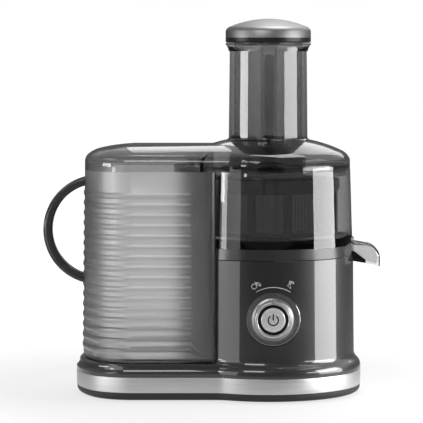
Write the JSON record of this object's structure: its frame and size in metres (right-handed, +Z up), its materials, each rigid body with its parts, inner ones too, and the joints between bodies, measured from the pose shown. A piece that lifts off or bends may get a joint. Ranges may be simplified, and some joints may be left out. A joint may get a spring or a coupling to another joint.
{
  "type": "centrifugal juicer",
  "caption": "Tall centrifugal juicer: round motor base with dial, juicing bowl with spinning filter basket, side pulp bin with loop handle, lid, wide feed tube and pusher.",
  "frame": {"origin": "middle of the footprint's bounding box, on the table", "axes": "+Z up; the front with the dial faces -Y; the spout is towards +X and the pulp bin's handle towards -X"},
  "size_m": [0.3686, 0.204, 0.409],
  "materials": {
    "pan_black": "fine matt moulded plastic",
    "foot_rubber": "soft rubber",
    "band_steel": "brushed along the band",
    "housing_grey": "dark metallic grey lacquer",
    "screw_steel": "plain steel",
    "bracket_aluminium": "cast aluminium",
    "motor_iron": "stacked sheet iron",
    "copper_wire": "enamelled copper",
    "bearing_steel": "ground steel",
    "inner_black": "matt plastic",
    "dial_black": "satin black plastic",
    "board_green": "lacquered circuit board",
    "gland_black": "matt plastic",
    "coupling_black": "hard matt plastic",
    "bowl_grey": "grey moulded plastic",
    "clear_plastic": "clear smoke-tinted plastic",
    "spout_clear": "clear plastic",
    "basket_black": "matt black plastic",
    "mesh_steel": "etched sheet steel",
    "lid_smoke": "smoke-tinted plastic",
    "tube_smoke": "smoke-tinted plastic",
    "pusher_black": "satin black plastic",
    "cap_steel": "spun and brushed",
    "bin_smoke": "frosted smoke-tinted plastic",
    "handle_black": "glossy black plastic",
    "selector_metal": "turned satin metal",
    "button_silver": "silver lacquer"
  },
  "bodies": {
    "base": {"bottom_pan": "pan_black", "rubber_feet": "foot_rubber", "trim_band": "band_steel", "motor_housing": "housing_grey", "bin_platform": "housing_grey", "base_screws": "screw_steel", "upper_motor_bracket": "bracket_aluminium", "lower_motor_bracket": "bracket_aluminium", "motor_screws": "screw_steel", "motor_stator": "motor_iron", "field_coils": "copper_wire", "upper_bearing": "bearing_steel", "lower_bearing": "bearing_steel", "shaft_seal": "foot_rubber", "carbon_brushes": "inner_black", "dial_bezel": "dial_black", "control_board": "board_green", "selector_switch": "inner_black", "power_switch": "inner_black", "cord_gland": "gland_black"},
    "rotor": {"motor_shaft": "bearing_steel", "rotor_core": "motor_iron", "rotor_windings": "copper_wire", "commutator": "copper_wire", "cooling_fan": "inner_black", "drive_coupling": "coupling_black"},
    "bowl": {"bowl_base": "bowl_grey", "juice_bowl": "clear_plastic", "juice_spout": "spout_clear"},
    "basket": {"basket_frame": "basket_black", "filter_mesh": "mesh_steel", "basket_hub": "basket_black", "grater_disc": "mesh_steel"},
    "lid": {"lid": "lid_smoke", "feed_tube": "tube_smoke"},
    "pusher": {"pusher_body": "pusher_black", "pusher_ring": "pusher_black", "pusher_cap": "cap_steel"},
    "bin": {"pulp_bin": "bin_smoke", "bin_handle": "handle_black"},
    "dial": {"selector_ring": "selector_metal", "dial_spindle": "dial_black"},
    "button": {"power_button": "button_silver"}
  },
  "joints": [
    {"name": "motor_spin", "type": "hinge", "parent": "base", "child": "rotor", "pos_m": [0.062, 0, 0.1], "axis": [0, 0, 1], "continuous": true},
    {"name": "bowl_lift", "type": "slide", "parent": "base", "child": "bowl", "axis": [0, 0, 1], "range_m": [0, 0.12]},
    {"name": "basket_spin", "type": "hinge", "parent": "bowl", "child": "basket", "pos_m": [0.062, 0, 0.175], "axis": [0, 0, 1], "continuous": true},
    {"name": "lid_lift", "type": "slide", "parent": "bowl", "child": "lid", "axis": [0, 0, 1], "range_m": [0, 0.1]},
    {"name": "pusher_slide", "type": "slide", "parent": "lid", "child": "pusher", "axis": [0, 0, 1], "range_m": [0, 0.16]},
    {"name": "bin_slide", "type": "slide", "parent": "base", "child": "bin", "axis": [-1, 0, 0], "range_m": [0, 0.2]},
    {"name": "dial_turn", "type": "hinge", "parent": "base", "child": "dial", "pos_m": [0.0655, -0.09, 0.089], "axis": [0, -1, 0], "range_deg": [-30, 30]},
    {"name": "button_press", "type": "slide", "parent": "base", "child": "button", "axis": [0, 1, 0], "range_m": [0, 0.002], "stiffness_N_per_m": 400}
  ],
  "couplings": [
    {"joint": "basket_spin", "follows": "motor_spin", "ratio": 1}
  ]
}
